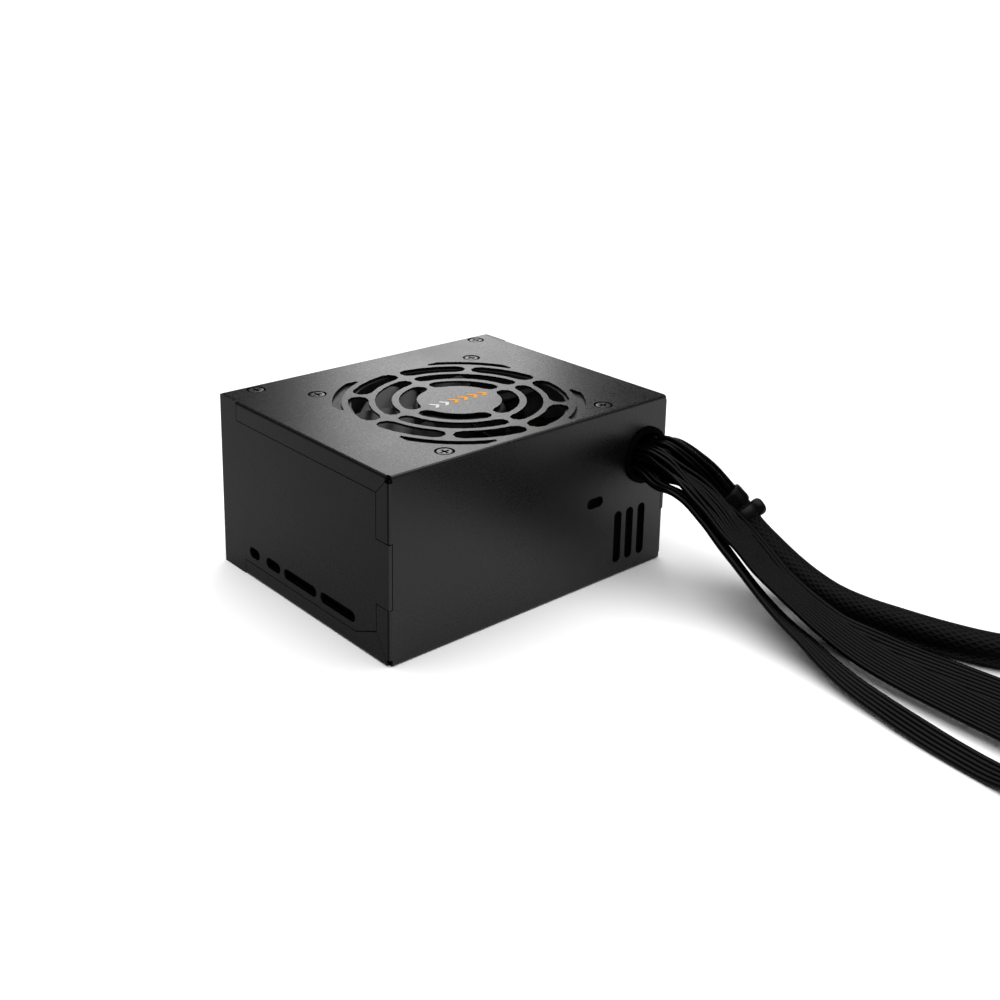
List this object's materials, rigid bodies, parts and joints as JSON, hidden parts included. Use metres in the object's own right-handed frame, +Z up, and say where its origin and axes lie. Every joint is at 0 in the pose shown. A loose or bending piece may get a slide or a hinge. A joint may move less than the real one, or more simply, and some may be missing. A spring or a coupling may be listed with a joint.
{
  "type": "computer power supply",
  "caption": "Compact black steel computer power supply with a fan behind a stamped top grille, rear inlet and rocker switch, and captive output cables leaving the front.",
  "frame": {"origin": "centre of the case's bottom face, in the plane the case stands on", "axes": "+Y to the rear face with the inlet and switch, -Y out of the cable face, +Z up through the fan grille"},
  "size_m": [0.2002, 0.3721, 0.0635],
  "materials": {
    "powder_coat": "fine textured black powder coat",
    "black_screw": "black zinc",
    "bright_steel": "zinc plated",
    "brass": "plated",
    "black_plastic": "moulded black",
    "cable_black": "satin black insulation",
    "heatsink": "extruded",
    "board": "green solder mask",
    "copper": "enamelled copper wire",
    "can": "sleeved aluminium can",
    "yellow_plastic": "moulded yellow",
    "ferrite": "ferrite and tape"
  },
  "bodies": {
    "case": {"ac_inlet_housing": "black_plastic", "ac_inlet_pin_earth": "brass", "ac_inlet_pin_live": "brass", "ac_inlet_pin_neutral": "brass", "atx_cable": "cable_black", "atx_cable_tie": "cable_black", "atx_heat_shrink": "cable_black", "atx_plug_20_pin": "black_plastic", "atx_plug_4_pin": "black_plastic", "atx_wire_fan": "cable_black", "board_screw_1": "bright_steel", "board_screw_2": "bright_steel", "board_screw_3": "bright_steel", "board_screw_4": "bright_steel", "bridge_rectifier": "black_plastic", "bulk_capacitor": "can", "cable_grommet": "black_plastic", "cover_screw_bottom_1": "black_screw", "cover_screw_bottom_2": "black_screw", "cover_screw_top_1": "black_screw", "cover_screw_top_2": "black_screw", "cpu_cable": "cable_black", "cpu_cable_tie": "cable_black", "cpu_plug_a": "black_plastic", "cpu_plug_b": "black_plastic", "emi_choke": "copper", "fan_bearing": "brass", "fan_frame": "black_plastic", "fan_lead": "cable_black", "fan_screw_1": "black_screw", "fan_screw_2": "black_screw", "fan_screw_3": "black_screw", "fan_screw_4": "black_screw", "fan_stator": "copper", "insulation_sheet": "black_plastic", "main_board": "board", "main_transformer": "ferrite", "output_capacitor_1": "can", "output_capacitor_2": "can", "output_choke": "copper", "output_loom": "cable_black", "pcie_cable": "cable_black", "pcie_cable_tie": "cable_black", "pcie_plug_2_pin": "black_plastic", "pcie_plug_6_pin": "black_plastic", "pfc_choke": "copper", "primary_heatsink": "heatsink", "sata_cable": "cable_black", "sata_plug_end": "black_plastic", "sata_plug_middle": "black_plastic", "secondary_heatsink": "heatsink", "standby_transformer": "yellow_plastic", "switch_housing": "black_plastic", "u_shell": "powder_coat", "wrap_shell": "powder_coat", "x_capacitor": "yellow_plastic"},
    "fan": {"fan_rotor": "black_plastic", "fan_shaft": "bright_steel", "fan_magnet": "ferrite"},
    "rocker": {"switch_rocker": "black_plastic"}
  },
  "joints": [
    {"name": "fan_spin", "type": "hinge", "parent": "case", "child": "fan", "pos_m": [0.0002, -0.0075, 0.0554], "axis": [0, 0, 1], "continuous": true},
    {"name": "switch_rock", "type": "hinge", "parent": "case", "child": "rocker", "pos_m": [0.0095, 0.0469, 0.033], "axis": [1, 0, 0], "range_deg": [-18, 0]}
  ]
}
